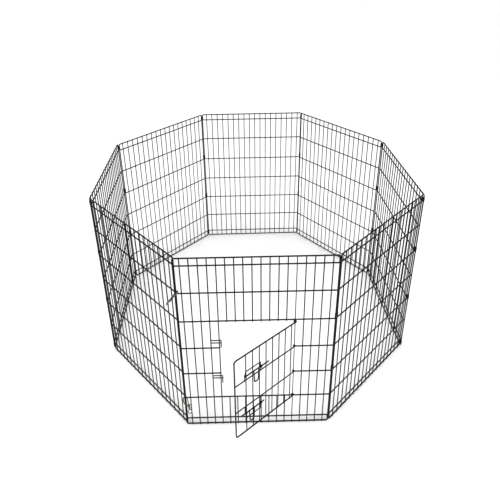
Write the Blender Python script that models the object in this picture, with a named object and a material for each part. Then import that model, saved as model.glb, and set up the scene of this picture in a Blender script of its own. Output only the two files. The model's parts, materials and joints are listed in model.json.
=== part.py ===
"""Folding wire pet playpen: eight panels in a ring, a door with two slide bolts, and two bolt snaps.

Metres, +Z up. The ring stands on z = 0. The front panel faces -Y and holds the door, which stands open.
The panels stand in a slightly uneven ring, as set up by hand.
Panels follow each other counterclockwise from the front one, and each folds on the one before it.
A panel's own frame: +X along the panel, -Y out of the pen, +Z up, origin on its first side wire.
"""

import math

import bmesh
import bpy
from mathutils import Matrix, Vector

# Ring and panels
PANELS = 8
PANEL_WIDTH = 0.605          # between the centres of a panel's two side wires
PANEL_HEIGHT = 0.860         # between the centres of its top and bottom wires
# turn from each panel to the next at the first five corners; the last two panels close the ring
FIRST_TURNS = [math.radians(degrees) for degrees in (45.5, 47.5, 36.0, 51.5, 46.5)]
HINGE_PITCH = 0.0076         # between the side wires of two neighbouring panels
# direction from a panel's last side wire to the next panel's, at the corners that fold inward and outward
LINK_INWARD = math.radians(44.2)
LINK_OUTWARD = math.radians(-63.5)
CLOSING = (0.0024, 0.0072)   # the last panel's last side wire, from the front panel's first one

# Wire sizes: circumradius of round wires, half width of square ones
FRAME_RADIUS = 0.0025
FRAME_BEND = 0.007           # corner radius of a panel's frame
CROSS_HALF = 0.0017          # horizontal wires
UPRIGHT_HALF = 0.0013        # vertical wires
UPRIGHT_OUT = 0.0034         # how far the vertical wires stand out from the frame's plane
PIVOT_RADIUS = 0.0016        # the vertical wire that the door hangs on
WIRE_SIDES = 8
FRAME_FLAT = FRAME_RADIUS * math.cos(math.pi / WIRE_SIDES)
BEND_STEPS = 3
GAP = 0.0003                 # between pieces that touch

# Spacing of the vertical and horizontal wires
UPRIGHTS = 18
UPRIGHT_PITCH = 0.0327
UPRIGHT_FIRST = (PANEL_WIDTH - (UPRIGHTS - 1) * UPRIGHT_PITCH) / 2
CROSS_NARROW = 0.033         # the close pairs at the top and bottom
CROSS_NEXT = 0.124
CROSS_EVEN = (PANEL_HEIGHT - 2 * (CROSS_NARROW + CROSS_NEXT)) / 4

# Door, counted in vertical wires from the panel's left side
KEEPER_UPRIGHT = 4
LATCH_UPRIGHT = 5
HINGE_UPRIGHT = 14
DOOR_OPEN = math.radians(40.0)
DOOR_WIDTH = 0.309           # hinge axis to the free edge
DOOR_CLEARANCE = 0.007       # below and above the opening's horizontal wires
DOOR_MID_RISE = 0.005        # the door's middle wires above the panel's
DOOR_FRAME_RADIUS = 0.0021
DOOR_CROSS_HALF = 0.0015
DOOR_UPRIGHT_HALF = 0.0012
DOOR_OUT = 0.0038            # the door's plane from its hinge axis
DOOR_BEND = 0.010
DOOR_UPRIGHTS = 8
DOOR_UPRIGHT_FIRST = 0.025
DOOR_UPRIGHT_PITCH = 0.0332
DOOR_UPRIGHT_OUT = DOOR_OUT + DOOR_CROSS_HALF + GAP + DOOR_UPRIGHT_HALF
EYE_INNER = 0.0022
EYE_OUTER = 0.0052
EYE_HEIGHT = 0.0026

# Slide bolts on the door, measured from the door's hinge axis towards its free edge
BOLT_RADIUS = 0.0023
BOLT_OUT = DOOR_UPRIGHT_OUT + DOOR_UPRIGHT_HALF + GAP + BOLT_RADIUS
BOLT_LENGTH = 0.118
BOLT_TIP = 0.264             # the tip of a bolt that is fully drawn back
BOLT_TRAVEL = 0.0325
HANDLE_RADIUS = 0.0019
HANDLE_FORWARD = 0.0030      # of the rod
HANDLE_OUT = BOLT_OUT + HANDLE_FORWARD
HANDLE_MIDDLE = 0.2125
HANDLE_TOP = 0.0250          # width at the rod
HANDLE_BOTTOM = 0.0186
HANDLE_DROP = 0.054
HANDLE_BEND = 0.005
GUIDE_HALF = 0.0014
GUIDE_OUT = DOOR_UPRIGHT_OUT + DOOR_UPRIGHT_HALF + GAP + GUIDE_HALF
GUIDE_FIRST = 0.187
GUIDE_LAST = 0.2614
GUIDE_EYE_INNER = 0.0028
GUIDE_EYE_OUTER = 0.0050
GUIDE_EYE_LENGTH = 0.003
# per latch: height of the guide's far bar and of the bolt from the door's middle wire, and how far it is shot
LATCHES = {
    "upper": {"bar": 0.049, "bolt": 0.0275, "shot": 0.0},
    "lower": {"bar": -0.055, "bolt": -0.0260, "shot": 0.0235},
}

# Keepers on the front panel
KEEPER_HALF = 0.0012
KEEPER_IN = 0.0006           # they lie behind the vertical wires
KEEPER_OUT = 0.0188          # and come forward past the bolt
KEEPER_REACH = 0.0075        # past the vertical wire beside the opening
KEEPER_SPREAD = 0.0063       # each wire above and below the bolt
KEEPER_TAIL = 0.005
KEEPER_BEND = 0.0022
KEEPER_THINNER = 0.96        # the wires against the leg that they run into

# Sheet metal hinge clips
CLIP_INNER = 0.0029
CLIP_OUTER = 0.0038
CLIP_STEPS = 4
CLIP_SHORT = 0.020
CLIP_TALL = 0.024

# Bolt snaps that close the ring, along the snap from the middle of its hook
SNAP_AXIS = 0.0090           # barrel axis beside the hook's middle
SNAP_BAR_RADIUS = 0.0020
SNAP_HOOK_CENTRE = -0.005
SNAP_TIP = 0.002             # how far the hook's end runs past its bend
SNAP_SHOULDER = (0.006, 0.0008, 0.0012)  # the hook's root: along the barrel, its drop, below the barrel
SNAP_NECK_RUN = (0.0045, 0.0095)  # the hook's slope, before the barrel
SNAP_BARREL_START = 0.019
SNAP_BARREL_END = 0.038
SNAP_BARREL_RADIUS = 0.0050
SNAP_BORE_RADIUS = 0.0032
SNAP_BORE_END = 0.032
SNAP_SLOT = (0.0005, 0.0118)  # the knob's slot, from the barrel's start
SNAP_SLOT_HALF = 0.0018
SNAP_SLOT_DEEPER = 2.4
SNAP_PLUNGER_RADIUS = 0.0018
SNAP_HEAD_RADIUS = 0.0028
SNAP_HEAD = (0.001, 0.004)   # from the barrel's start
SNAP_KNOB = 0.0026
SNAP_KNOB_RADIUS = 0.0014
SNAP_KNOB_RISE = 0.003       # above the barrel
SNAP_SPRING_OUTER = 0.0027
SNAP_SPRING_INNER = 0.0019
SNAP_NECK_DEPTH = 0.0035
SNAP_NECK_HOLE = 0.0021
SNAP_NECK_RADIUS = 0.0016
SNAP_EYE_GAP = 0.0025        # from the barrel's end to the ring
SNAP_EYE_RADIUS = 0.0075
SNAP_EYE_BAR = 0.0017
SNAP_TILT = math.radians(50.0)
ROD_SIDES = 6
BARREL_SIDES = 12
HOOK_STEPS = 8
RING_STEPS = 12
SNAPS = {
    "upper": {"height": 0.702, "heading": math.radians(177.0)},
    "lower": {"height": 0.139, "heading": math.radians(290.0)},
}

PANEL_NAMES = ["front", "front_right", "right", "back_right", "back", "back_left", "left", "front_left"]

BLACK = (0.018, 0.018, 0.020, 1.0)
BLACK_CLIP = (0.028, 0.028, 0.030, 1.0)
NICKEL = (0.62, 0.61, 0.59, 1.0)
SHARP_ANGLE = math.radians(50)


# ---------------------------------------------------------------- places worked out from the sizes

def cross_heights():
    """Heights of a panel's nine horizontal wires, lowest first."""
    steps = [CROSS_NARROW, CROSS_NEXT] + [CROSS_EVEN] * 4 + [CROSS_NEXT, CROSS_NARROW]
    heights = [FRAME_FLAT]
    for step in steps:
        heights.append(heights[-1] + step)
    return heights


def upright(number):
    """Distance of a vertical wire from the first side wire; number 1 is next to it."""
    return UPRIGHT_FIRST + (number - 1) * UPRIGHT_PITCH


CROSS = cross_heights()
DOOR_BOTTOM = CROSS[2] + DOOR_CLEARANCE
DOOR_TOP = CROSS[5] - DOOR_CLEARANCE
DOOR_MIDS = {"upper": CROSS[4] + DOOR_MID_RISE, "lower": CROSS[3] + DOOR_MID_RISE}


def link_direction(corner):
    """Direction to the next panel's side wire at a corner, in the frame of the panel before it."""
    return LINK_INWARD if corner % 2 else LINK_OUTWARD


def link(corner):
    """From a panel's first side wire to the next panel's, in its own frame."""
    angle = link_direction(corner)
    return Vector((PANEL_WIDTH + HINGE_PITCH * math.cos(angle), HINGE_PITCH * math.sin(angle), 0))


def heading(vector):
    return math.atan2(vector.y, vector.x)


def corner_turns():
    """Turn at each of the seven hinged corners, such that the ring closes."""
    turns = list(FIRST_TURNS)
    start, turned = Vector((0, 0, 0)), 0.0
    for corner, turn in enumerate([0.0] + turns, start=1):
        turned += turn
        start = start + Matrix.Rotation(turned, 3, "Z") @ link(corner)
    end = Vector((CLOSING[0], CLOSING[1], 0))
    step, gap = link(PANELS - 1), end - start
    # triangle of the last two panels and the gap that they close, standing out from the ring
    cosine = (step.length_squared + gap.length_squared - PANEL_WIDTH ** 2) / (2 * step.length * gap.length)
    first = heading(gap) - math.acos(cosine)
    elbow = start + Vector((math.cos(first), math.sin(first), 0)) * step.length
    sixth = (first - heading(step) - turned) % (2 * math.pi)
    seventh = (heading(end - elbow) - turned - sixth) % (2 * math.pi)
    return turns + [sixth, seventh]


TURNS = corner_turns()


# ---------------------------------------------------------------- mesh helpers

def clear_scene():
    for item in list(bpy.data.objects):
        bpy.data.objects.remove(item, do_unlink=True)


def material(name, color, roughness, metallic):
    mat = bpy.data.materials.new(name)
    mat.use_nodes = True
    shader = mat.node_tree.nodes["Principled BSDF"]
    shader.inputs["Base Color"].default_value = color
    shader.inputs["Roughness"].default_value = roughness
    shader.inputs["Metallic"].default_value = metallic
    return mat


def mesh_from(bm, name):
    bmesh.ops.recalc_face_normals(bm, faces=bm.faces)
    mesh = bpy.data.meshes.new(name)
    bm.to_mesh(mesh)
    bm.free()
    return mesh


def place(name, mesh, mat, parent=None, location=(0, 0, 0), turn=0.0):
    """Put a mesh in the scene under a parent, turned about Z."""
    item = bpy.data.objects.new(name, mesh)
    bpy.context.scene.collection.objects.link(item)
    if mat is not None and not mesh.materials:
        mesh.materials.append(mat)
    item.parent = parent
    item.location = location
    item.rotation_euler = (0, 0, turn)
    return item


def empty(name, parent=None, location=(0, 0, 0), turn=0.0):
    item = bpy.data.objects.new(name, None)
    bpy.context.scene.collection.objects.link(item)
    item.parent = parent
    item.location = location
    item.rotation_euler = (0, 0, turn)
    return item


def sweep(bm, path, radius, sides, normal, closed=False):
    """Draw a polygon section along a flat path whose plane has the given normal, with mitred bends."""
    path = [Vector(p) for p in path]
    normal = Vector(normal).normalized()
    count = len(path)
    rings = []
    for i, point in enumerate(path):
        before = path[i] - path[i - 1] if closed or i > 0 else None
        after = path[(i + 1) % count] - path[i] if closed or i < count - 1 else None
        before = (before or after).normalized()
        after = (after or before).normalized()
        tangent = (before + after).normalized()
        side = tangent.cross(normal)
        stretch = 1.0 / max(0.2, tangent.dot(before))
        ring = []
        for k in range(sides):
            angle = 2 * math.pi * (k + 0.5) / sides
            offset = side * (math.cos(angle) * radius * stretch) + normal * (math.sin(angle) * radius)
            ring.append(bm.verts.new(point + offset))
        rings.append(ring)
    spans = count if closed else count - 1
    for i in range(spans):
        first, second = rings[i], rings[(i + 1) % count]
        for k in range(sides):
            m = (k + 1) % sides
            bm.faces.new((first[k], first[m], second[m], second[k]))
    if not closed:
        bm.faces.new(rings[0])
        bm.faces.new(list(reversed(rings[-1])))


def square_radius(half):
    """Circumradius of a square section with this half width."""
    return half * math.sqrt(2)


def arc(centre, radius, start, end, steps, across, up):
    """Points from angle start to end, in the plane of the unit vectors across and up."""
    centre, across, up = Vector(centre), Vector(across), Vector(up)
    points = []
    for i in range(steps + 1):
        angle = start + (end - start) * i / steps
        points.append(centre + across * (radius * math.cos(angle)) + up * (radius * math.sin(angle)))
    return points


def rounded(corners, radius, steps, closed=False):
    """A polyline with its corners replaced by arcs of the given radius."""
    corners = [Vector(p) for p in corners]
    count = len(corners)
    path = []
    for i, corner in enumerate(corners):
        if not closed and i in (0, count - 1):
            path.append(corner)
            continue
        into = (corner - corners[i - 1]).normalized()
        out = (corners[(i + 1) % count] - corner).normalized()
        turn = into.angle(out)
        back = radius * math.tan(turn / 2)
        start = corner - into * back
        inward = (out - into * into.dot(out)).normalized()
        centre = start + inward * radius
        for k in range(steps + 1):
            angle = turn * k / steps
            path.append(centre - inward * (radius * math.cos(angle)) + into * (radius * math.sin(angle)))
    return path


def tube(bm, outer, inner, length, steps, turn=Matrix.Identity(4)):
    """A short open tube along Z, centred, then turned into place."""
    loops = []
    half = length / 2
    for radius, height in ((outer, -half), (outer, half), (inner, half), (inner, -half)):
        loop = []
        for k in range(steps):
            angle = 2 * math.pi * (k + 0.5) / steps
            point = Vector((math.cos(angle) * radius, math.sin(angle) * radius, height))
            loop.append(bm.verts.new(turn @ point))
        loops.append(loop)
    for i in range(4):
        first, second = loops[i], loops[(i + 1) % 4]
        for k in range(steps):
            m = (k + 1) % steps
            bm.faces.new((first[k], first[m], second[m], second[k]))


def combine(base, others, operation):
    """The mesh left when the other meshes are joined to base, or cut from it."""
    item = place("combine_base", base, None)
    helpers = []
    for mesh in others:
        helper = place("combine_with", mesh, None)
        helper.hide_render = True
        helper.display_type = "WIRE"
        helpers.append(helper)
        step = item.modifiers.new("combine", "BOOLEAN")
        step.operation = operation
        step.solver = "EXACT"
        step.object = helper
    depsgraph = bpy.context.evaluated_depsgraph_get()
    result = bpy.data.meshes.new_from_object(item.evaluated_get(depsgraph))
    for used in helpers + [item]:
        bpy.data.objects.remove(used, do_unlink=True)
    return result


def finish(mesh, name):
    """Name a finished mesh and shade its round faces smooth."""
    mesh.name = name
    mesh.shade_smooth()
    mesh.set_sharp_from_angle(angle=SHARP_ANGLE)
    return mesh


# ---------------------------------------------------------------- panels

def panel_frame():
    """The closed loop of thick wire round a panel."""
    low, high = CROSS[0], CROSS[-1]
    corners = [(0, 0, low), (PANEL_WIDTH, 0, low), (PANEL_WIDTH, 0, high), (0, 0, high)]
    bm = bmesh.new()
    loop = rounded(corners, FRAME_BEND, BEND_STEPS, closed=True)
    sweep(bm, loop, FRAME_RADIUS, WIRE_SIDES, (0, 1, 0), closed=True)
    return mesh_from(bm, "frame")


def cross_wire(bm, start, end, height):
    sweep(bm, [(start, 0, height), (end, 0, height)], square_radius(CROSS_HALF), 4, (0, 1, 0))


def upright_wire(bm, along, low, high):
    path = [(along, -UPRIGHT_OUT, low), (along, -UPRIGHT_OUT, high)]
    sweep(bm, path, square_radius(UPRIGHT_HALF), 4, (0, 1, 0))


def pivot_wire(bm, along, low, high):
    path = [(along, -UPRIGHT_OUT, low), (along, -UPRIGHT_OUT, high)]
    sweep(bm, path, PIVOT_RADIUS, WIRE_SIDES, (0, 1, 0))


def panel_mesh(with_door):
    """Frame, horizontal wires between its sides, and vertical wires in front of them."""
    bm = bmesh.new()
    for number, height in enumerate(CROSS[1:-1], start=1):
        if with_door and number in (3, 4):
            cross_wire(bm, 0, upright(LATCH_UPRIGHT) + UPRIGHT_HALF, height)
            cross_wire(bm, upright(HINGE_UPRIGHT) + PIVOT_RADIUS + GAP, PANEL_WIDTH, height)
        else:
            cross_wire(bm, 0, PANEL_WIDTH, height)
    low, high = CROSS[0] - UPRIGHT_HALF, CROSS[-1] + UPRIGHT_HALF
    for number in range(1, UPRIGHTS + 1):
        along = upright(number)
        if with_door and number == HINGE_UPRIGHT:
            pivot_wire(bm, along, low, high)
        elif with_door and LATCH_UPRIGHT < number < HINGE_UPRIGHT:
            upright_wire(bm, along, low, CROSS[2] + CROSS_HALF)
            upright_wire(bm, along, CROSS[5] - CROSS_HALF, high)
        else:
            upright_wire(bm, along, low, high)
    return finish(combine(panel_frame(), [mesh_from(bm, "wires")], "UNION"), "panel")


# ---------------------------------------------------------------- hinge clips

def clip_mesh(height):
    """A sheet metal sleeve round the side wires at x = 0 and x = HINGE_PITCH, centred on z = 0."""
    bm = bmesh.new()
    loops = []
    for radius, z in ((CLIP_OUTER, -height / 2), (CLIP_OUTER, height / 2),
                      (CLIP_INNER, height / 2), (CLIP_INNER, -height / 2)):
        right = arc((HINGE_PITCH, 0, z), radius, -math.pi / 2, math.pi / 2, CLIP_STEPS, (1, 0, 0), (0, 1, 0))
        left = arc((0, 0, z), radius, math.pi / 2, 3 * math.pi / 2, CLIP_STEPS, (1, 0, 0), (0, 1, 0))
        loops.append([bm.verts.new(p) for p in right + left])
    count = len(loops[0])
    for i in range(4):
        first, second = loops[i], loops[(i + 1) % 4]
        for k in range(count):
            m = (k + 1) % count
            bm.faces.new((first[k], first[m], second[m], second[k]))
    return finish(mesh_from(bm, "clip"), "hinge_clip")


def clip_heights():
    """Middle of each corner's four clips, and which of the two lengths it has."""
    edge = CROSS_HALF + 2 * GAP
    return {
        "bottom": (CROSS[1] - edge - CLIP_SHORT / 2, CLIP_SHORT),
        "lower": (CROSS[3] + edge + CLIP_TALL / 2, CLIP_TALL),
        "upper": (CROSS[5] + edge + CLIP_TALL / 2, CLIP_TALL),
        "top": (CROSS[-2] + edge + CLIP_SHORT / 2, CLIP_SHORT),
    }


# ---------------------------------------------------------------- door and its latches
# The door's own frame: hinge axis at the origin, free edge towards -X when closed, -Y out of the pen.

def door_mesh():
    corners = [(0, -DOOR_OUT, DOOR_TOP), (-DOOR_WIDTH, -DOOR_OUT, DOOR_TOP),
               (-DOOR_WIDTH, -DOOR_OUT, DOOR_BOTTOM), (0, -DOOR_OUT, DOOR_BOTTOM)]
    bm = bmesh.new()
    sweep(bm, rounded(corners, DOOR_BEND, BEND_STEPS), DOOR_FRAME_RADIUS, WIRE_SIDES, (0, 1, 0))
    frame = mesh_from(bm, "door_frame")

    wires = bmesh.new()
    for height in DOOR_MIDS.values():
        path = [(0, -DOOR_OUT, height), (-DOOR_WIDTH, -DOOR_OUT, height)]
        sweep(wires, path, square_radius(DOOR_CROSS_HALF), 4, (0, 1, 0))
    for i in range(DOOR_UPRIGHTS):
        along = -(DOOR_UPRIGHT_FIRST + i * DOOR_UPRIGHT_PITCH)
        path = [(along, -DOOR_UPRIGHT_OUT, DOOR_BOTTOM - DOOR_UPRIGHT_HALF),
                (along, -DOOR_UPRIGHT_OUT, DOOR_TOP + DOOR_UPRIGHT_HALF)]
        sweep(wires, path, square_radius(DOOR_UPRIGHT_HALF), 4, (0, 1, 0))

    eyes = bmesh.new()
    clearance = bmesh.new()
    for height in [DOOR_BOTTOM, DOOR_TOP] + list(DOOR_MIDS.values()):
        lift = Matrix.Translation((0, 0, height))
        tube(eyes, EYE_OUTER, EYE_INNER, EYE_HEIGHT, WIRE_SIDES, lift)
        path = [(0, 0, height - EYE_HEIGHT), (0, 0, height + EYE_HEIGHT)]
        sweep(clearance, path, EYE_INNER, WIRE_SIDES, (0, 1, 0))
    joined = combine(frame, [mesh_from(wires, "door_wires"), mesh_from(eyes, "door_eyes")], "UNION")
    return finish(combine(joined, [mesh_from(clearance, "door_bores")], "DIFFERENCE"), "door")


def along_x(x, y, z):
    """Turns a piece made along Z so that it lies along X at this place."""
    return Matrix.Translation((x, y, z)) @ Matrix.Rotation(math.pi / 2, 4, "Y")


def guide_mesh(latch):
    """A bent wire that stands off the door's middle wire, with an eye round the bolt at each leg."""
    bar, bolt = latch["bar"], latch["bolt"]
    foot = DOOR_OUT + DOOR_CROSS_HALF + GAP + GUIDE_HALF
    legs = bmesh.new()
    corners = [(-GUIDE_FIRST, -GUIDE_OUT, 0), (-GUIDE_FIRST, -GUIDE_OUT, bar),
               (-GUIDE_LAST, -GUIDE_OUT, bar), (-GUIDE_LAST, -GUIDE_OUT, 0)]
    sweep(legs, rounded(corners, 2 * GUIDE_HALF, BEND_STEPS), square_radius(GUIDE_HALF), 4, (0, 1, 0))
    feet = bmesh.new()
    eyes = bmesh.new()
    bores = bmesh.new()
    for along in (GUIDE_FIRST, GUIDE_LAST):
        path = [(-along, -foot + GUIDE_HALF, 0), (-along, -GUIDE_OUT - GUIDE_HALF, 0)]
        sweep(feet, path, square_radius(GUIDE_HALF), 4, (0, 0, 1))
        round_bolt = along_x(-along, -BOLT_OUT, bolt)
        tube(eyes, GUIDE_EYE_OUTER, GUIDE_EYE_INNER, GUIDE_EYE_LENGTH, WIRE_SIDES, round_bolt)
        bore = [(-along - GUIDE_EYE_LENGTH, -BOLT_OUT, bolt), (-along + GUIDE_EYE_LENGTH, -BOLT_OUT, bolt)]
        sweep(bores, bore, GUIDE_EYE_INNER, WIRE_SIDES, (0, 0, 1))
    joined = combine(mesh_from(legs, "legs"), [mesh_from(feet, "feet"), mesh_from(eyes, "eyes")], "UNION")
    return finish(combine(joined, [mesh_from(bores, "bores")], "DIFFERENCE"), "guide")


def bolt_mesh():
    """A straight bar with a U-shaped finger loop hanging in front of it; its height is z = 0."""
    bar = bmesh.new()
    path = [(-BOLT_TIP, -BOLT_OUT, 0), (-BOLT_TIP + BOLT_LENGTH, -BOLT_OUT, 0)]
    sweep(bar, path, BOLT_RADIUS, WIRE_SIDES, (0, 0, 1))
    loop = bmesh.new()
    top, bottom = HANDLE_TOP / 2, HANDLE_BOTTOM / 2
    corners = [(-HANDLE_MIDDLE + top, -HANDLE_OUT, BOLT_RADIUS),
               (-HANDLE_MIDDLE + bottom, -HANDLE_OUT, -HANDLE_DROP),
               (-HANDLE_MIDDLE - bottom, -HANDLE_OUT, -HANDLE_DROP),
               (-HANDLE_MIDDLE - top, -HANDLE_OUT, BOLT_RADIUS)]
    sweep(loop, rounded(corners, HANDLE_BEND, BEND_STEPS), HANDLE_RADIUS, WIRE_SIDES, (0, 1, 0))
    return finish(combine(mesh_from(bar, "bar"), [mesh_from(loop, "loop")], "UNION"), "bolt")


def keeper_mesh():
    """Two wires that come forward past the vertical wire and end in one upright leg; the bolt is at z = 0."""
    start = upright(KEEPER_UPRIGHT) - UPRIGHT_HALF
    turn = upright(LATCH_UPRIGHT) + KEEPER_REACH
    leg = bmesh.new()
    path = [(turn, -KEEPER_OUT, KEEPER_SPREAD + KEEPER_HALF),
            (turn, -KEEPER_OUT, -KEEPER_SPREAD - KEEPER_TAIL)]
    sweep(leg, path, square_radius(KEEPER_HALF), 4, (0, 1, 0))
    wires = bmesh.new()
    for height in (KEEPER_SPREAD, -KEEPER_SPREAD):
        corners = [(start, -KEEPER_IN, height), (turn, -KEEPER_IN, height), (turn, -KEEPER_OUT, height)]
        bent = rounded(corners, KEEPER_BEND, BEND_STEPS - 1)
        sweep(wires, bent, square_radius(KEEPER_HALF * KEEPER_THINNER), 4, (0, 0, 1))
    return finish(combine(mesh_from(leg, "leg"), [mesh_from(wires, "wires")], "UNION"), "keeper")


# ---------------------------------------------------------------- bolt snaps
# A snap's own frame: +X from the hook's middle towards the eye, +Y towards the barrel's axis.

def rod(bm, start, end, radius, sides=WIRE_SIDES):
    sweep(bm, [(start, SNAP_AXIS, 0), (end, SNAP_AXIS, 0)], radius, sides, (0, 0, 1))


def snap_hook_mesh():
    """Barrel with a bore for the gate, a slot for its knob and a hook that bends round the side wires."""
    barrel = bmesh.new()
    rod(barrel, SNAP_BARREL_START, SNAP_BARREL_END, SNAP_BARREL_RADIUS, BARREL_SIDES)
    hook = bmesh.new()
    root, drop, inset = SNAP_SHOULDER
    shoulder = SNAP_AXIS - SNAP_BARREL_RADIUS - inset
    bend = arc((SNAP_HOOK_CENTRE, 0, 0), SNAP_AXIS, -math.pi / 2, -1.5 * math.pi, HOOK_STEPS,
               (1, 0, 0), (0, 1, 0))
    slope, straight = SNAP_NECK_RUN
    path = [Vector((SNAP_BARREL_START + root, shoulder, 0)), Vector((SNAP_BARREL_START, shoulder - drop, 0)),
            Vector((SNAP_BARREL_START - slope, SNAP_BAR_RADIUS - SNAP_AXIS, 0)),
            Vector((SNAP_BARREL_START - straight, -SNAP_AXIS, 0))]
    path += bend + [Vector((SNAP_HOOK_CENTRE + SNAP_TIP, SNAP_AXIS, 0))]
    sweep(hook, path, SNAP_BAR_RADIUS, ROD_SIDES, (0, 0, 1))
    joined = combine(mesh_from(barrel, "barrel"), [mesh_from(hook, "hook")], "UNION")

    bore = bmesh.new()
    rod(bore, SNAP_BARREL_START - SNAP_BAR_RADIUS, SNAP_BORE_END, SNAP_BORE_RADIUS)
    neck = bmesh.new()
    rod(neck, SNAP_BARREL_END - SNAP_NECK_DEPTH, SNAP_BARREL_END + SNAP_BAR_RADIUS, SNAP_NECK_HOLE)
    slot = bmesh.new()
    path = [(SNAP_BARREL_START + along, SNAP_AXIS + SNAP_BARREL_RADIUS, 0) for along in SNAP_SLOT]
    sweep(slot, path, square_radius(SNAP_SLOT_HALF), 4, (0, 0, 1))
    bmesh.ops.scale(slot, vec=(1, SNAP_SLOT_DEEPER, 1), verts=slot.verts,
                    space=Matrix.Translation((0, -SNAP_AXIS - SNAP_BARREL_RADIUS, 0)))
    cutters = [mesh_from(bore, "bore"), mesh_from(neck, "neck"), mesh_from(slot, "slot")]
    return finish(combine(joined, cutters, "DIFFERENCE"), "snap_hook")


def snap_gate_mesh():
    """Plunger from the hook's tip into the barrel, with a head and a thumb knob."""
    plunger = bmesh.new()
    middle = SNAP_BARREL_START + SNAP_KNOB
    rod(plunger, SNAP_HOOK_CENTRE + SNAP_TIP + GAP, middle, SNAP_PLUNGER_RADIUS, ROD_SIDES)
    head = bmesh.new()
    rod(head, SNAP_BARREL_START + SNAP_HEAD[0], SNAP_BARREL_START + SNAP_HEAD[1], SNAP_HEAD_RADIUS)
    knob = bmesh.new()
    path = [(middle, SNAP_AXIS + SNAP_PLUNGER_RADIUS / 2, 0),
            (middle, SNAP_AXIS + SNAP_BARREL_RADIUS + SNAP_KNOB_RISE, 0)]
    sweep(knob, path, SNAP_KNOB_RADIUS, ROD_SIDES, (1, 0, 0))
    pieces = [mesh_from(head, "head"), mesh_from(knob, "knob")]
    return finish(combine(mesh_from(plunger, "plunger"), pieces, "UNION"), "snap_gate")


def snap_spring_mesh():
    """The outer shape of the spring behind the gate's head, as a plain sleeve."""
    bm = bmesh.new()
    start, end = SNAP_BARREL_START + SNAP_HEAD[1] + GAP, SNAP_BORE_END - GAP
    place_in_barrel = along_x((start + end) / 2, SNAP_AXIS, 0)
    tube(bm, SNAP_SPRING_OUTER, SNAP_SPRING_INNER, end - start, WIRE_SIDES, place_in_barrel)
    return finish(mesh_from(bm, "spring"), "snap_spring")


def snap_eye_mesh():
    """Swivel ring on a neck that turns in the barrel's end."""
    neck = bmesh.new()
    start = SNAP_BARREL_END - SNAP_NECK_DEPTH + GAP
    centre = SNAP_BARREL_END + SNAP_EYE_GAP + SNAP_EYE_RADIUS
    rod(neck, start, SNAP_BARREL_END + SNAP_EYE_GAP + GAP, SNAP_NECK_RADIUS, ROD_SIDES)
    ring = bmesh.new()
    path = arc((centre, SNAP_AXIS, 0), SNAP_EYE_RADIUS, 0, 2 * math.pi, RING_STEPS, (1, 0, 0), (0, 1, 0))[:-1]
    sweep(ring, path, SNAP_EYE_BAR, ROD_SIDES, (0, 0, 1), closed=True)
    return finish(combine(mesh_from(ring, "ring"), [mesh_from(neck, "neck")], "UNION"), "snap_eye")


# ---------------------------------------------------------------- assembly

def build_panels(root, black, clip_black):
    """The front panel, then at each corner the clips on one panel and the next panel that turns in them."""
    plain = panel_mesh(with_door=False)
    clips = {length: clip_mesh(length) for length in (CLIP_SHORT, CLIP_TALL)}
    front = place("panel_front", panel_mesh(with_door=True), black, root)
    before = front
    for number, name in enumerate(PANEL_NAMES[1:], start=1):
        corner = empty(f"corner_{number}", before, (PANEL_WIDTH, 0, 0), link_direction(number))
        for level, (height, length) in clip_heights().items():
            place(f"hinge_clip_{number}_{level}", clips[length], clip_black, corner, (0, 0, height))
        before = place(f"panel_{name}", plain, black, before, link(number), TURNS[number - 1])
    return front


def build_door(front, black):
    """The door on its hinge wire, and the guides and bolts on it."""
    axis = (upright(HINGE_UPRIGHT), -UPRIGHT_OUT, 0)
    door = place("door", door_mesh(), black, front, axis, DOOR_OPEN)
    drawn = bolt_mesh()
    for level, latch in LATCHES.items():
        middle = DOOR_MIDS[level]
        place(f"bolt_guide_{level}", guide_mesh(latch), black, door, (0, 0, middle))
        place(f"slide_bolt_{level}", drawn, black, door, (-latch["shot"], 0, middle + latch["bolt"]))
        place(f"keeper_{level}", keeper_mesh(), black, front, (0, 0, middle + latch["bolt"]))


def build_snaps(front, nickel):
    """Two snaps round the side wires of the front and front left panels."""
    meshes = {"hook": snap_hook_mesh(), "gate": snap_gate_mesh(),
              "spring": snap_spring_mesh(), "eye": snap_eye_mesh()}
    for level, snap in SNAPS.items():
        middle = (CLOSING[0] / 2, CLOSING[1] / 2, snap["height"])
        pivot = empty(f"snap_{level}_pivot", front, middle, snap["heading"])
        tilt = empty(f"snap_{level}_tilt", pivot)
        tilt.rotation_euler = (0, SNAP_TILT, 0)
        for piece, mesh in meshes.items():
            place(f"snap_{level}_{piece}", mesh, nickel, tilt)


def centre_box(root):
    """Move everything so that the middle of the whole box is over the origin."""
    bpy.context.view_layer.update()
    solids = [item for item in bpy.data.objects if item.type == "MESH"]
    points = [item.matrix_world @ vert.co for item in solids for vert in item.data.vertices]
    root.location.x = -(min(p.x for p in points) + max(p.x for p in points)) / 2
    root.location.y = -(min(p.y for p in points) + max(p.y for p in points)) / 2
    bpy.context.view_layer.update()


def main():
    clear_scene()
    black = material("black_wire_coating", BLACK, 0.42, 0.0)
    clip_black = material("black_clip_coating", BLACK_CLIP, 0.38, 0.0)
    nickel = material("nickel_plate", NICKEL, 0.22, 1.0)
    root = empty("playpen")
    front = build_panels(root, black, clip_black)
    build_door(front, black)
    build_snaps(front, nickel)
    centre_box(root)


main()
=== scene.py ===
"""Looks of the folding wire pet playpen: every CAD node is redrawn in round wire, bent sheet or turned metal.

Metres, in the CAD's frame. The front panel faces -Y. A panel's own frame and the door's are those of the CAD:
+X along the piece, -Y out of the pen, +Z up. A snap's own frame runs from its hook to its eye along +X.
Places come from the joints and boxes of the frame.
"""

import json
import math
import random

import bmesh
import bpy
from mathutils import Matrix, Vector


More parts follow.
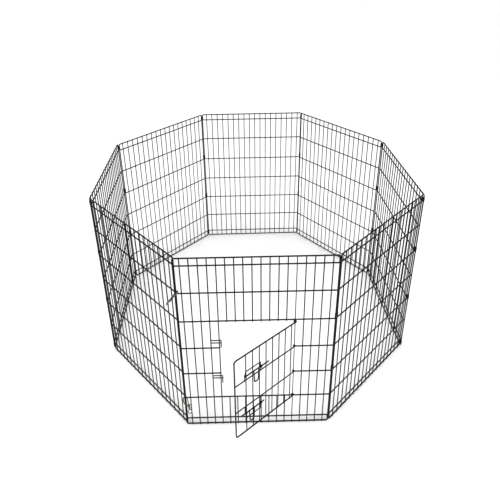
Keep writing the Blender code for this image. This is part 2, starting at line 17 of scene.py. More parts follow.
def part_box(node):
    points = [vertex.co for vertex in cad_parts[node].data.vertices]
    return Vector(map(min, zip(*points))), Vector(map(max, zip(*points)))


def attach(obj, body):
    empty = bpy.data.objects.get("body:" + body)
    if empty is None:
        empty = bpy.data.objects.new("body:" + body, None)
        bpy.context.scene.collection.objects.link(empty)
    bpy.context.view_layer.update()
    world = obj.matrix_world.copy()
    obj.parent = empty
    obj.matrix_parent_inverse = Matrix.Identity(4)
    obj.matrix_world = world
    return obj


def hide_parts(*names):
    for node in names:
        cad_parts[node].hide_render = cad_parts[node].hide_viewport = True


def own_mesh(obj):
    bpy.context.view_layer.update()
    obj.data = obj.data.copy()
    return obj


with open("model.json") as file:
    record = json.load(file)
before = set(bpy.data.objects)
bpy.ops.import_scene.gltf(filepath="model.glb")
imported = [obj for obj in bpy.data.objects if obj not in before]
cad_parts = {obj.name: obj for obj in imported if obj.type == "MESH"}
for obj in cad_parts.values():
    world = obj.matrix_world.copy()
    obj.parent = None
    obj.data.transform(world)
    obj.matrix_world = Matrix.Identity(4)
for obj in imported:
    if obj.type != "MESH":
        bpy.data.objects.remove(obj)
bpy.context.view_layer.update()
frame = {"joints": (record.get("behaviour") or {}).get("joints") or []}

MM = 0.001
JOINTS = {joint["name"]: joint for joint in frame["joints"]}

# Round wires, by radius
FRAME_WIRE = 2.6 * MM
CROSS_WIRE = 2.5 * MM
UPRIGHT_WIRE = 2.0 * MM
PIVOT_WIRE = 1.6 * MM
DOOR_WIRE = 2.5 * MM
DOOR_CROSS_WIRE = 2.1 * MM
DOOR_UPRIGHT_WIRE = 1.8 * MM
GUIDE_WIRE = 1.75 * MM
BOLT_WIRE = 2.4 * MM
HANDLE_WIRE = 2.2 * MM
KEEPER_WIRE = 2.0 * MM
WIRE_SIDES = 14
THIN_SIDES = 10

# Panel layout: wires stand out from the plane of the side wires
PANEL_WIDTH = 605.0 * MM
FRAME_BEND = 8.0 * MM
CROSS_OUT = -0.2 * MM
UPRIGHT_OUT = 3.1 * MM
PIVOT_OUT = 3.4 * MM          # the vertical wire that the door hangs on
HINGE_PITCH = 7.6 * MM        # between the side wires of two neighbouring panels
LINK_INWARD = math.radians(44.2)   # from a panel's last side wire to the next panel's, at odd corners
LINK_OUTWARD = math.radians(-63.5)
UPRIGHTS = 18
UPRIGHT_PITCH = 32.7 * MM
CROSS_NARROW = 33.0 * MM
CROSS_NEXT = 124.0 * MM
WAVER = 0.25 * MM             # how far a drawn wire strays from straight
WELD_BEAD = (2.5 * MM, 1.1 * MM, 2.4 * MM)    # half sizes, where two wires cross
BUTT_BEAD = (1.7 * MM, 2.6 * MM, 2.9 * MM)    # where a wire ends against the frame's side
BUTT_IN = 2.6 * MM

# Doorway, counted in vertical wires from the left side wire
KEEPER_UPRIGHT = 4
LATCH_UPRIGHT = 5
HINGE_UPRIGHT = 14
DOOR_WIDTH = 309.0 * MM
DOOR_CLEARANCE = 7.0 * MM
DOOR_MID_RISE = 5.0 * MM
DOOR_OUT = 4.2 * MM
DOOR_CROSS_OUT = 3.8 * MM
DOOR_BEND = 11.0 * MM
DOOR_UPRIGHTS = 8
DOOR_UPRIGHT_FIRST = 25.0 * MM
DOOR_UPRIGHT_PITCH = 33.2 * MM
DOOR_UPRIGHT_OUT = 6.3 * MM
EYE_WRAP = math.radians(300)
DOOR_WELD_BEAD = (2.3 * MM, 1.0 * MM, 2.2 * MM)
DOOR_BUTT_BEAD = (1.7 * MM, 2.3 * MM, 2.6 * MM)
DOOR_BUTT_IN = 2.2 * MM

# Slide bolts, guides and keepers
BOLT_OUT = 10.6 * MM
BOLT_TIP = 264.0 * MM
BOLT_LENGTH = 118.0 * MM
HANDLE_OUT = 13.6 * MM
HANDLE_MIDDLE = 212.5 * MM
HANDLE_TOP = 25.0 * MM
HANDLE_BOTTOM = 18.6 * MM
HANDLE_DROP = 54.0 * MM
HANDLE_LIFT = 1.2 * MM        # of its ends above the rod's middle
HANDLE_BEND = 6.0 * MM
HANDLE_BEAD = (2.6 * MM, 1.5 * MM, 2.3 * MM)
GUIDE_LEGS = (186.2 * MM, 262.6 * MM)
GUIDE_BAR_OUT = 9.3 * MM
GUIDE_COIL = 4.35 * MM
GUIDE_COIL_DRIFT = 2.8 * MM
GUIDE_BEND = 3.5 * MM
GUIDE_FOOT_BEAD = (2.2 * MM, 1.4 * MM, 2.2 * MM)
LATCHES = {
    "upper": {"bar": 49.0 * MM, "bolt": 27.5 * MM},
    "lower": {"bar": -55.0 * MM, "bolt": -26.0 * MM},
}
KEEPER_IN = 0.2 * MM
KEEPER_OUT = 18.8 * MM
KEEPER_REACH = 7.5 * MM
KEEPER_SPREAD = 6.3 * MM
KEEPER_TAIL = 5.0 * MM
KEEPER_BEND = 3.0 * MM
KEEPER_WELD_BEAD = (2.3 * MM, 1.0 * MM, 1.9 * MM)

# Hinge clips: one strip of sheet bent round both side wires
CLIP_SHEET = 0.9 * MM
CLIP_MIDLINE = 3.45 * MM
CLIP_WAIST = 2.75 * MM
CLIP_SHORTER = 1.2 * MM       # than the CAD's sleeve, to stay off the horizontal wires
CLIP_LAP = 1.6 * MM
CLIP_OVER = 0.92 * MM         # from the lap's under layer to its outer one
CLIP_HOLLOW = 0.15 * MM       # of the back, between the two wires
CLIP_SOFT_EDGE = 0.16 * MM

# Bolt snaps, along the snap from the middle of its hook
SNAP_AXIS = 9.0 * MM
SNAP_HOOK_CENTRE = -5.0 * MM
SNAP_HOOK_DIP = 1.1 * MM      # of the hook's back, off its plane, clear of the horizontal wire
SNAP_BARREL = (19.0 * MM, 38.0 * MM)
SNAP_BORE_END = 32.0 * MM
SNAP_HEAD_END = 4.2 * MM      # of the gate, from the barrel's start
SNAP_KNOB = 3.0 * MM
SNAP_TRAVEL = 5.5 * MM
SNAP_SLOT_OUT = 3.75 * MM
SNAP_SLOT_RADIUS = 1.55 * MM
SNAP_HOOK_RADII = (2.45 * MM, 1.90 * MM)      # at the barrel and at the tip
SNAP_ROD_BORE = 2.3 * MM
SNAP_BORE = 3.2 * MM
SPRING_TURNS = 4
SPRING_RADIUS = 2.35 * MM
SPRING_WIRE = 0.34 * MM
SNAP_EYE = 7.5 * MM
SNAP_EYE_BAR = 1.7 * MM


# ---------------------------------------------------------------- places from the frame

def joint_place(name):
    return Vector(JOINTS[name]["pos_m"])


def facing(place, direction):
    """The frame at a place whose +X points in a level direction."""
    return Matrix.Translation(place) @ Matrix.Rotation(math.atan2(direction.y, direction.x), 4, "Z")


PANEL_NAMES = ["front", "front_right", "right", "back_right", "back", "back_left", "left", "front_left"]
CORNERS = range(1, len(PANEL_NAMES))


def upright(number):
    """Distance of a vertical wire from the first side wire; number 1 is next to it."""
    return (PANEL_WIDTH - (UPRIGHTS - 1) * UPRIGHT_PITCH) / 2 + (number - 1) * UPRIGHT_PITCH


def panel_start(index):
    """Place of a panel's first side wire; after the last panel, where its last side wire stands."""
    if index == 0:
        return joint_place("door_hinge") + Vector((-upright(HINGE_UPRIGHT), PIVOT_OUT, 0))
    if index < len(PANEL_NAMES):
        return joint_place("fold" if index == 1 else f"corner_{index}_turn")
    middle, front = joint_place("snap_upper_swing"), panel_start(0)
    return Vector((2 * middle.x - front.x, 2 * middle.y - front.y, front.z))


def panel_frame(index):
    """A panel's own frame, on its first side wire."""
    start = panel_start(index)
    step = panel_start(index + 1) - start
    turned = math.atan2(step.y, step.x)
    if index + 1 < len(PANEL_NAMES):
        link = LINK_OUTWARD if index % 2 else LINK_INWARD
        turned -= math.atan2(HINGE_PITCH * math.sin(link), PANEL_WIDTH + HINGE_PITCH * math.cos(link))
    return Matrix.Translation(start) @ Matrix.Rotation(turned, 4, "Z")


def corner_wires(corner):
    """The two side wires that a corner's clips hold: of the panel before it, then of the panel after it."""
    return panel_frame(corner - 1) @ Vector((PANEL_WIDTH, 0, 0)), panel_start(corner)


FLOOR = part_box("panel_front")[0].z
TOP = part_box("panel_front")[1].z


def cross_heights():
    """Heights of the nine horizontal wires, lowest first."""
    low, high = FLOOR + FRAME_WIRE, TOP - FRAME_WIRE
    even = (high - low - 2 * (CROSS_NARROW + CROSS_NEXT)) / 4
    heights = [low]
    for step in [CROSS_NARROW, CROSS_NEXT] + [even] * 4 + [CROSS_NEXT, CROSS_NARROW]:
        heights.append(heights[-1] + step)
    return heights


CROSS = cross_heights()
DOOR_BOTTOM = CROSS[2] + DOOR_CLEARANCE
DOOR_TOP = CROSS[5] - DOOR_CLEARANCE
DOOR_MIDS = {"upper": CROSS[4] + DOOR_MID_RISE, "lower": CROSS[3] + DOOR_MID_RISE}
DOOR_OPEN = math.radians(-JOINTS["door_hinge"]["range_deg"][0])
DOOR_FRAME = Matrix.Translation(joint_place("door_hinge")) @ Matrix.Rotation(DOOR_OPEN, 4, "Z")


def snap_frame(level):
    """A snap's own frame: +X from its hook to its eye, +Y from the hook's middle to the barrel's axis."""
    swivel = JOINTS[f"snap_{level}_eye_swivel"]
    along = Vector(swivel["axis"]).normalized()
    across = Vector((-along.y, along.x, 0)).normalized()
    up = along.cross(across)
    turn = Matrix((along, across, up)).transposed().to_4x4()
    place = Vector(swivel["pos_m"]) - along * SNAP_BARREL[1] - across * SNAP_AXIS
    return Matrix.Translation(place) @ turn


# ---------------------------------------------------------------- surfaces

class Shell:
    """Points and faces of closed surfaces that don't touch each other."""

    def __init__(self):
        self.points = []
        self.faces = []

    def add(self, points, faces):
        base = len(self.points)
        self.points += [Vector(p) for p in points]
        self.faces += [tuple(base + i for i in face) for face in faces]
        return self


def rings_to_faces(count, sides, closed):
    faces = []
    for i in range(count if closed else count - 1):
        first, second = i * sides, ((i + 1) % count) * sides
        for k in range(sides):
            m = (k + 1) % sides
            faces.append((first + k, first + m, second + m, second + k))
    return faces


def tangents_of(path, closed):
    count = len(path)
    tangents = []
    for i in range(count):
        before = path[i] - path[i - 1] if closed or i else path[1] - path[0]
        after = path[(i + 1) % count] - path[i] if closed or i < count - 1 else before
        tangents.append((before.normalized() + after.normalized()).normalized())
    return tangents


def dome(point, tangent, radius, steps):
    """Stations that close a wire's end with a rounded tip: (point, radius) pairs, outwards."""
    stations = []
    for k in range(1, steps + 1):
        angle = 0.48 * math.pi * k / steps
        stations.append((point + tangent * (radius * math.sin(angle)), radius * math.cos(angle)))
    return stations


def chamfer(point, tangent, radius):
    """Stations that close a cut end with a small softened edge."""
    edge = ((0.12, 0.93), (0.2, 0.78))
    return [(point + tangent * (reach * radius), share * radius) for reach, share in edge]


def wire(shell, path, radius, sides=WIRE_SIDES, closed=False, tip="cut"):
    """Draw round wire along a path. radius is a length, or a function of the share of the path."""
    path = [Vector(p) for p in path]
    tangents = tangents_of(path, closed)
    count = len(path)
    sizes = [radius(i / (count - 1)) if callable(radius) else radius for i in range(count)]
    stations = list(zip(path, tangents, sizes))
    if not closed:
        close = dome if tip == "round" else chamfer
        extra = (4,) if tip == "round" else ()
        front = [(p, tangents[0], r) for p, r in close(path[0], -tangents[0], sizes[0], *extra)]
        back = [(p, tangents[-1], r) for p, r in close(path[-1], tangents[-1], sizes[-1], *extra)]
        stations = front[::-1] + stations + back
    normal = stations[0][1].orthogonal().normalized()
    points = []
    for i, (point, tangent, size) in enumerate(stations):
        if i:
            normal = stations[i - 1][1].rotation_difference(tangent) @ normal
        side = tangent.cross(normal)
        for k in range(sides):
            angle = 2 * math.pi * k / sides
            points.append(point + normal * (math.cos(angle) * size) + side * (math.sin(angle) * size))
    total = len(stations)
    faces = rings_to_faces(total, sides, closed)
    if not closed:
        faces.append(tuple(reversed(range(sides))))
        faces.append(tuple(range((total - 1) * sides, total * sides)))
    return shell.add(points, faces)


def lathe(shell, axis_frame, profile, sides=28):
    """Turn a closed profile of (along, radius) points about the +X axis of a frame."""
    points = []
    for along, radius in profile:
        for k in range(sides):
            angle = 2 * math.pi * k / sides
            points.append(axis_frame @ Vector((along, radius * math.cos(angle), radius * math.sin(angle))))
    faces = rings_to_faces(len(profile), sides, False)
    faces.append(tuple(reversed(range(sides))))
    faces.append(tuple(range((len(profile) - 1) * sides, len(profile) * sides)))
    return shell.add(points, faces)


def unit_ball():
    bm = bmesh.new()
    bmesh.ops.create_icosphere(bm, subdivisions=2, radius=1.0)
    points = [v.co.copy() for v in bm.verts]
    faces = [tuple(v.index for v in f.verts) for f in bm.faces]
    bm.free()
    return points, faces


BALL_POINTS, BALL_FACES = unit_ball()


def bead(shell, place, size):
    """A weld bead: a small ball with its own size along each axis."""
    stretch = Vector(size)
    return shell.add([Vector(place) + p * stretch for p in BALL_POINTS], BALL_FACES)


def arc(centre, radius, start, end, steps, across, up):
    centre, across, up = Vector(centre), Vector(across), Vector(up)
    angles = [start + (end - start) * i / steps for i in range(steps + 1)]
    return [centre + across * (radius * math.cos(a)) + up * (radius * math.sin(a)) for a in angles]


def rounded(corners, radius, steps=8, closed=False):
    """A polyline with its corners bent to a radius."""
    corners = [Vector(p) for p in corners]
    count = len(corners)
    path = []
    for i, corner in enumerate(corners):
        if not closed and i in (0, count - 1):
            path.append(corner)
            continue
        into = (corner - corners[i - 1]).normalized()
        out = (corners[(i + 1) % count] - corner).normalized()
        turn = into.angle(out)
        start = corner - into * (radius * math.tan(turn / 2))
        inward = (out - into * into.dot(out)).normalized()
        centre = start + inward * radius
        for k in range(steps + 1):
            angle = turn * k / steps
            path.append(centre - inward * (radius * math.cos(angle)) + into * (radius * math.sin(angle)))
    return path


def to_mesh(shell, name):
    mesh = bpy.data.meshes.new(name)
    mesh.from_pydata(shell.points, [], shell.faces)
    bm = bmesh.new()
    bm.from_mesh(mesh)
    bmesh.ops.recalc_face_normals(bm, faces=bm.faces)
    bm.to_mesh(mesh)
    bm.free()
    return mesh


def combine(base, others, operation="UNION"):
    """The mesh left when the other meshes are joined to base, or cut from it."""
    item = bpy.data.objects.new("combine_base", base)
    bpy.context.scene.collection.objects.link(item)
    helpers = []
    for mesh in others:
        helper = bpy.data.objects.new("combine_with", mesh)
        bpy.context.scene.collection.objects.link(helper)
        helpers.append(helper)
        step = item.modifiers.new("combine", "BOOLEAN")
        step.operation = operation
        step.solver = "MANIFOLD"
        step.object = helper
    depsgraph = bpy.context.evaluated_depsgraph_get()
    result = bpy.data.meshes.new_from_object(item.evaluated_get(depsgraph))
    for used in helpers + [item]:
        bpy.data.objects.remove(used, do_unlink=True)
    return result


def weld(name, shells, angle=38):
    """One welded mesh from several shells that overlap."""
    meshes = [to_mesh(shell, name) for shell in shells if shell.points]
    mesh = combine(meshes[0], meshes[1:]) if len(meshes) > 1 else meshes[0]
    return smooth(mesh, name, angle)


def smooth(mesh, name, angle=38):
    mesh.name = name
    mesh.shade_smooth()
    mesh.set_sharp_from_angle(angle=math.radians(angle))
    return mesh


def piece(name, mesh, place, mat, body, node):
    """Show a mesh as a piece on a CAD body, in place of a CAD node."""
    item = bpy.data.objects.new(name, mesh)
    bpy.context.scene.collection.objects.link(item)
    mesh.materials.clear()
    mesh.materials.append(mat)
    item.matrix_world = place
    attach(item, body)
    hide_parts(node)
    return item


# ---------------------------------------------------------------- materials

class Graph:
    """Short calls for a material's node tree."""

    def __init__(self, name):
        self.material = bpy.data.materials.new(name)
        self.material.use_nodes = True
        self.tree = self.material.node_tree
        self.shader = self.tree.nodes["Principled BSDF"]
        self.coords = self.tree.nodes.new("ShaderNodeTexCoord").outputs["Object"]

    def set(self, **values):
        for name, value in values.items():
            self.shader.inputs[name.replace("_", " ")].default_value = value

    def link(self, output, name):
        self.tree.links.new(output, self.shader.inputs[name])

    def noise(self, scale, detail=3.0, stretch=(1, 1, 1), rough=0.55):
        mapping = self.tree.nodes.new("ShaderNodeMapping")
        mapping.inputs["Scale"].default_value = stretch
        self.tree.links.new(self.coords, mapping.inputs["Vector"])
        node = self.tree.nodes.new("ShaderNodeTexNoise")
        node.inputs["Scale"].default_value = scale
        node.inputs["Detail"].default_value = detail
        node.inputs["Roughness"].default_value = rough
        self.tree.links.new(mapping.outputs["Vector"], node.inputs["Vector"])
        return node.outputs["Fac"]

    def ramp(self, value, stops):
        node = self.tree.nodes.new("ShaderNodeValToRGB")
        while len(node.color_ramp.elements) < len(stops):
            node.color_ramp.elements.new(0.5)
        for element, (place, color) in zip(node.color_ramp.elements, stops):
            element.position = place
            element.color = color if isinstance(color, tuple) else (color, color, color, 1)
        self.tree.links.new(value, node.inputs["Fac"])
        return node.outputs["Color"]

    def mix(self, factor, first, second):
        node = self.tree.nodes.new("ShaderNodeMix")
        node.data_type = "RGBA"
        self.tree.links.new(factor, node.inputs["Factor"])
        for value, name in ((first, "A"), (second, "B")):
            target = next(i for i in node.inputs if i.name == name and i.type == "RGBA")
            if isinstance(value, tuple):
                target.default_value = value
            else:
                self.tree.links.new(value, target)
        return next(o for o in node.outputs if o.type == "RGBA")

    def bump(self, *layers):
        """Chain bumps, each (height output, strength, distance in metres)."""
        last = None
        for height, strength, distance in layers:
            node = self.tree.nodes.new("ShaderNodeBump")
            node.inputs["Strength"].default_value = strength
            node.inputs["Distance"].default_value = distance
            self.tree.links.new(height, node.inputs["Height"])
            if last is not None:
                self.tree.links.new(last, node.inputs["Normal"])
            last = node.outputs["Normal"]
        self.link(last, "Normal")


def black_coating(name, dark, light, roughness, worn=0.0):
    """Satin black coating with a faint orange peel, uneven gloss, and bare steel where worn is above 0."""
    graph = Graph(name)
    patches = graph.noise(35.0, 4.0)
    color = graph.ramp(patches, [(0.3, dark), (0.75, light)])
    gloss = graph.ramp(graph.noise(160.0, 3.0), [(0.25, roughness - 0.07), (0.8, roughness + 0.10)])
    graph.set(IOR=1.5, Specular_IOR_Level=0.25)
    if worn:
        scuffs = graph.noise(420.0, 5.0, (0.25, 1, 1), 0.65)
        mask = graph.ramp(scuffs, [(0.60 - 0.06 * worn, 0.0), (0.68 - 0.06 * worn, 1.0)])
        color = graph.mix(mask, color, (0.075, 0.073, 0.07, 1))
        gloss = graph.mix(mask, gloss, (0.33, 0.33, 0.33, 1))
        graph.link(graph.ramp(mask, [(0.0, 0.0), (1.0, 0.85)]), "Metallic")
    graph.link(color, "Base Color")
    graph.link(gloss, "Roughness")
    graph.bump((graph.noise(650.0, 2.0), 0.22, 0.12 * MM), (graph.noise(2600.0, 2.0), 0.12, 0.04 * MM))
    return graph.material


def nickel_plate(name):
    """Bright nickel with fine polishing lines, faint haze, and painted shade: a base colour held dark so that
    its reflections look darker, and darker still in noise patches.
    """
    graph = Graph(name)
    # painted shade: noise patches darken the base colour, and every stop is kept dark so that the reflections
    # look darker
    painted_shade_noise = graph.noise(220.0, 4.0)
    color = graph.ramp(painted_shade_noise, [(0.30, (0.11, 0.106, 0.10, 1)), (0.52, (0.21, 0.205, 0.195, 1)),
                               (0.80, (0.31, 0.305, 0.29, 1))])
    gloss = graph.ramp(graph.noise(900.0, 4.0), [(0.3, 0.14), (0.75, 0.30)])
    graph.set(Metallic=1.0)
    graph.link(color, "Base Color")
    graph.link(gloss, "Roughness")
    polish, dents = graph.noise(5200.0, 2.0, (0.12, 1, 1)), graph.noise(300.0, 2.0)
    graph.bump((polish, 0.10, 0.03 * MM), (dents, 0.08, 0.1 * MM))
    return graph.material


def spring_steel(name):
    graph = Graph(name)
    color = graph.ramp(graph.noise(500.0, 3.0), [(0.3, (0.30, 0.30, 0.31, 1)), (0.8, (0.48, 0.47, 0.46, 1))])
    gloss = graph.ramp(graph.noise(1500.0, 2.0), [(0.3, 0.25), (0.8, 0.42)])
    graph.set(Metallic=1.0)
    graph.link(color, "Base Color")
    graph.link(gloss, "Roughness")
    graph.bump((graph.noise(4000.0, 2.0, (1, 0.15, 1)), 0.12, 0.03 * MM))
    return graph.material


def floor_finish(name):
    graph = Graph(name)
    color = graph.ramp(graph.noise(3.0, 2.0), [(0.2, (0.90, 0.90, 0.90, 1)), (0.8, (0.94, 0.94, 0.94, 1))])
    graph.link(color, "Base Color")
    graph.set(Roughness=0.85)
    return graph.material


# ---------------------------------------------------------------- panels

def wavering(start, end, seed, amount=WAVER, steps=14):
    """A nearly straight run of wire that strays a little, never at its ends."""
    rng = random.Random(seed)
    start, end = Vector(start), Vector(end)
    along = (end - start).normalized()
    side = along.cross(Vector((0, 1, 0))).normalized()
    waves = [(rng.uniform(-1, 1) / n, rng.uniform(-1, 1) / n, n) for n in (1, 2, 3)]
    path = []
    for i in range(steps + 1):
        t = i / steps
        stray = Vector()
        for across, out, n in waves:
            stray += (side * across + Vector((0, 1, 0)) * (0.4 * out)) * math.sin(math.pi * n * t)
        path.append(start.lerp(end, t) + stray * amount)
    return path


def frame_loop():
    low, high = CROSS[0], CROSS[-1]
    corners = [(0, 0, low), (PANEL_WIDTH, 0, low), (PANEL_WIDTH, 0, high), (0, 0, high)]
    return wire(Shell(), rounded(corners, FRAME_BEND, 8, closed=True), FRAME_WIRE, WIRE_SIDES, closed=True)


def panel_mesh(with_door):
    """Frame loop, horizontal wires butted between its sides, vertical wires spot welded in front of them."""
    crosses, uprights, beads, butts = Shell(), Shell(), Shell(), Shell()
    latch_end = upright(LATCH_UPRIGHT) + 1.1 * UPRIGHT_WIRE
    hinge_start = upright(HINGE_UPRIGHT) - 0.9 * PIVOT_WIRE
    for number, height in enumerate(CROSS[1:-1], start=1):
        doorway = with_door and number in (3, 4)
        spans = [(0, latch_end), (hinge_start, PANEL_WIDTH)] if doorway else [(0, PANEL_WIDTH)]
        for start, end in spans:
            seed = number * 7 + int(start * 100)
            path = wavering((start, -CROSS_OUT, height), (end, -CROSS_OUT, height), seed, 0.5 * WAVER)
            wire(crosses, path, CROSS_WIRE, THIN_SIDES)
        for side in (0, PANEL_WIDTH):
            inward = 1 if side == 0 else -1
            bead(butts, (side + inward * BUTT_IN, 0, height), BUTT_BEAD)
    low, high = CROSS[0] - 0.6 * FRAME_WIRE, CROSS[-1] + 0.6 * FRAME_WIRE
    for number in range(1, UPRIGHTS + 1):
        along = upright(number)
        pivot = with_door and number == HINGE_UPRIGHT
        cut = with_door and LATCH_UPRIGHT < number < HINGE_UPRIGHT
        runs = [(low, CROSS[2] + CROSS_WIRE), (CROSS[5] - CROSS_WIRE, high)] if cut else [(low, high)]
        for start, end in runs:
            out = PIVOT_OUT if pivot else UPRIGHT_OUT
            path = wavering((along, -out, start), (along, -out, end), number * 31, 0 if pivot else WAVER)
            wire(uprights, path, PIVOT_WIRE if pivot else UPRIGHT_WIRE, THIN_SIDES)
        for index, height in enumerate(CROSS):
            if cut and index in (3, 4):
                continue
            bead(beads, (along, -(CROSS_OUT + UPRIGHT_OUT) / 2, height), WELD_BEAD)
    name = "panel_with_door" if with_door else "panel_plain"
    return weld(name, [frame_loop(), crosses, butts, uprights, beads])


# ---------------------------------------------------------------- hinge clips

def clip_midline():
    """The sheet's middle line, from under the lap, round both side wires, to over the lap."""
    middle = HINGE_PITCH / 2
    half = math.pi / 2
    right = arc((HINGE_PITCH, 0, 0), CLIP_MIDLINE, half, -half, 12, (1, 0, 0), (0, 1, 0))
    left = arc((0, 0, 0), CLIP_MIDLINE, -half, -3 * half, 12, (1, 0, 0), (0, 1, 0))
    low, high = CLIP_WAIST, CLIP_WAIST + CLIP_OVER
    under = [(-CLIP_LAP, low - 0.1 * MM), (0, low - 0.1 * MM), (2.0 * MM, low + 0.1 * MM)]
    back = [(2.0 * MM, -low - CLIP_HOLLOW), (0, -low), (-2.0 * MM, -low - CLIP_HOLLOW)]
    over = [(-2.4 * MM, high - 0.07 * MM), (0, high), (CLIP_LAP, high)]
    under, back, over = ([Vector((middle + x, y, 0)) for x, y in run] for run in (under, back, over))
    return under + right + back + left + over


def clip_mesh(height):
    """A strip of sheet bent along its middle line, with soft edges."""
    line = clip_midline()
    tangents = tangents_of(line, False)
    out = [Vector((t.y, -t.x, 0)) for t in tangents]
    sides = [p + n * (CLIP_SHEET / 2) for p, n in zip(line, out)]
    sides += [p - n * (CLIP_SHEET / 2) for p, n in reversed(list(zip(line, out)))]
    count = len(line)
    bm = bmesh.new()
    low = [bm.verts.new(p - Vector((0, 0, height / 2))) for p in sides]
    high = [bm.verts.new(p + Vector((0, 0, height / 2))) for p in sides]
    total = len(sides)
    for k in range(total):
        m = (k + 1) % total
        bm.faces.new((low[k], low[m], high[m], high[k]))
    for row in (low, high):
        for k in range(count - 1):
            bm.faces.new((row[k], row[k + 1], row[total - 2 - k], row[total - 1 - k]))
    bmesh.ops.recalc_face_normals(bm, faces=bm.faces)
    rims = [e for e in bm.edges if e.is_manifold and e.calc_face_angle(0) > math.radians(60)]
    bmesh.ops.bevel(bm, geom=rims, offset=CLIP_SOFT_EDGE, segments=2, affect="EDGES", profile=0.5)
    mesh = bpy.data.meshes.new("clip")
    bm.to_mesh(mesh)
    bm.free()
    return smooth(mesh, "clip", 45)


# ---------------------------------------------------------------- door
# The door's frame: hinge axis at the origin, free edge towards -X when shut.

def eye(height, out, wrap=EYE_WRAP):
    """A wire's end curled round the hinge axis, starting where the straight part meets it."""
    return arc((0, 0, height), out, -math.pi / 2, -math.pi / 2 + wrap, 20, (1, 0, 0), (0, 1, 0))


def door_mesh():
    corners = [(0, -DOOR_OUT, DOOR_TOP), (-DOOR_WIDTH, -DOOR_OUT, DOOR_TOP),
               (-DOOR_WIDTH, -DOOR_OUT, DOOR_BOTTOM), (0, -DOOR_OUT, DOOR_BOTTOM)]
    outline = list(reversed(eye(DOOR_TOP, DOOR_OUT)))[:-1] + rounded(corners, DOOR_BEND, 10)
    outline += eye(DOOR_BOTTOM, DOOR_OUT)[1:]
    border = wire(Shell(), outline, DOOR_WIRE, WIRE_SIDES)
    mids, uprights, beads, butts = Shell(), Shell(), Shell(), Shell()
    for height in DOOR_MIDS.values():
        ends = ((-DOOR_WIDTH, -DOOR_CROSS_OUT, height), (0, -DOOR_CROSS_OUT, height))
        path = wavering(*ends, int(height * 999), 0.4 * WAVER)
        wire(mids, path + eye(height, DOOR_CROSS_OUT)[1:], DOOR_CROSS_WIRE, THIN_SIDES)
        bead(butts, (-DOOR_WIDTH + DOOR_BUTT_IN, -DOOR_OUT, height), DOOR_BUTT_BEAD)
    reach = 0.5 * DOOR_WIRE
    for i in range(DOOR_UPRIGHTS):
        along = -(DOOR_UPRIGHT_FIRST + i * DOOR_UPRIGHT_PITCH)
        ends = ((along, -DOOR_UPRIGHT_OUT, DOOR_BOTTOM - reach), (along, -DOOR_UPRIGHT_OUT, DOOR_TOP + reach))
        path = wavering(*ends, 500 + i, 0.6 * WAVER)
        wire(uprights, path, DOOR_UPRIGHT_WIRE, THIN_SIDES)
        for height in [DOOR_BOTTOM, DOOR_TOP] + list(DOOR_MIDS.values()):
            bead(beads, (along, -(DOOR_CROSS_OUT + DOOR_UPRIGHT_OUT) / 2, height), DOOR_WELD_BEAD)
    return weld("door_wires", [border, mids, butts, uprights, beads])


def guide_leg(along, bolt, bar, drift):
    """One leg: from its foot on the door's middle wire, once round the bolt, to the far bar's bend."""
    inner = BOLT_OUT - GUIDE_COIL
    sign = 1 if bar > 0 else -1
    foot = [Vector((along + drift / 2, -inner, 0.0)), Vector((along + drift / 2, -inner, 0.5 * bolt))]
    turns = 24
    coil = []
    for k in range(turns + 1):
        angle = 2 * math.pi * k / turns
        shift = drift / 2 - drift * k / turns
        out, up = GUIDE_COIL * math.cos(angle), sign * GUIDE_COIL * math.sin(angle)
        coil.append(Vector((along + shift, -BOLT_OUT + out, bolt + up)))
    return foot + coil


def guide_mesh(latch):
    """A bent wire on the door: two legs, each with a turn round the bolt, and a far bar between them."""
    bar, bolt = latch["bar"], latch["bolt"]
    drift = GUIDE_COIL_DRIFT
    near = guide_leg(-GUIDE_LEGS[0], bolt, bar, drift)
    far = guide_leg(-GUIDE_LEGS[1], bolt, bar, -drift)
    bend = [Vector((near[-1].x, -GUIDE_BAR_OUT, bar)), Vector((far[-1].x, -GUIDE_BAR_OUT, bar))]
    top = rounded([near[-1], bend[0], bend[1], far[-1]], GUIDE_BEND, 6)
    path = near + top[1:-1] + list(reversed(far))
    body = wire(Shell(), path, GUIDE_WIRE, 12)
    feet = Shell()
    for leg in (near, far):
        bead(feet, (leg[0].x, -DOOR_CROSS_OUT - 1.2 * MM, 0), GUIDE_FOOT_BEAD)
    return weld("bolt_guide", [body, feet])


def bolt_mesh():
    """A rod with rounded ends and a U-shaped finger loop welded to its front."""
    rod_ends = (-BOLT_TIP + BOLT_WIRE, -BOLT_TIP + BOLT_LENGTH - BOLT_WIRE)
    rod = wire(Shell(), [(along, -BOLT_OUT, 0) for along in rod_ends], BOLT_WIRE, 18, tip="round")
    ends = [-HANDLE_MIDDLE + HANDLE_TOP / 2, -HANDLE_MIDDLE - HANDLE_TOP / 2]
    low = [-HANDLE_MIDDLE + HANDLE_BOTTOM / 2, -HANDLE_MIDDLE - HANDLE_BOTTOM / 2]
    corners = [(ends[0], -HANDLE_OUT, HANDLE_LIFT), (low[0], -HANDLE_OUT, -HANDLE_DROP),
               (low[1], -HANDLE_OUT, -HANDLE_DROP), (ends[1], -HANDLE_OUT, HANDLE_LIFT)]
    loop = wire(Shell(), rounded(corners, HANDLE_BEND, 10), HANDLE_WIRE, 16, tip="round")
    beads = Shell()
    for along in ends:
        bead(beads, (along, -(BOLT_OUT + HANDLE_OUT) / 2, -0.3 * MM), HANDLE_BEAD)
    return weld("slide_bolt", [rod, loop, beads])


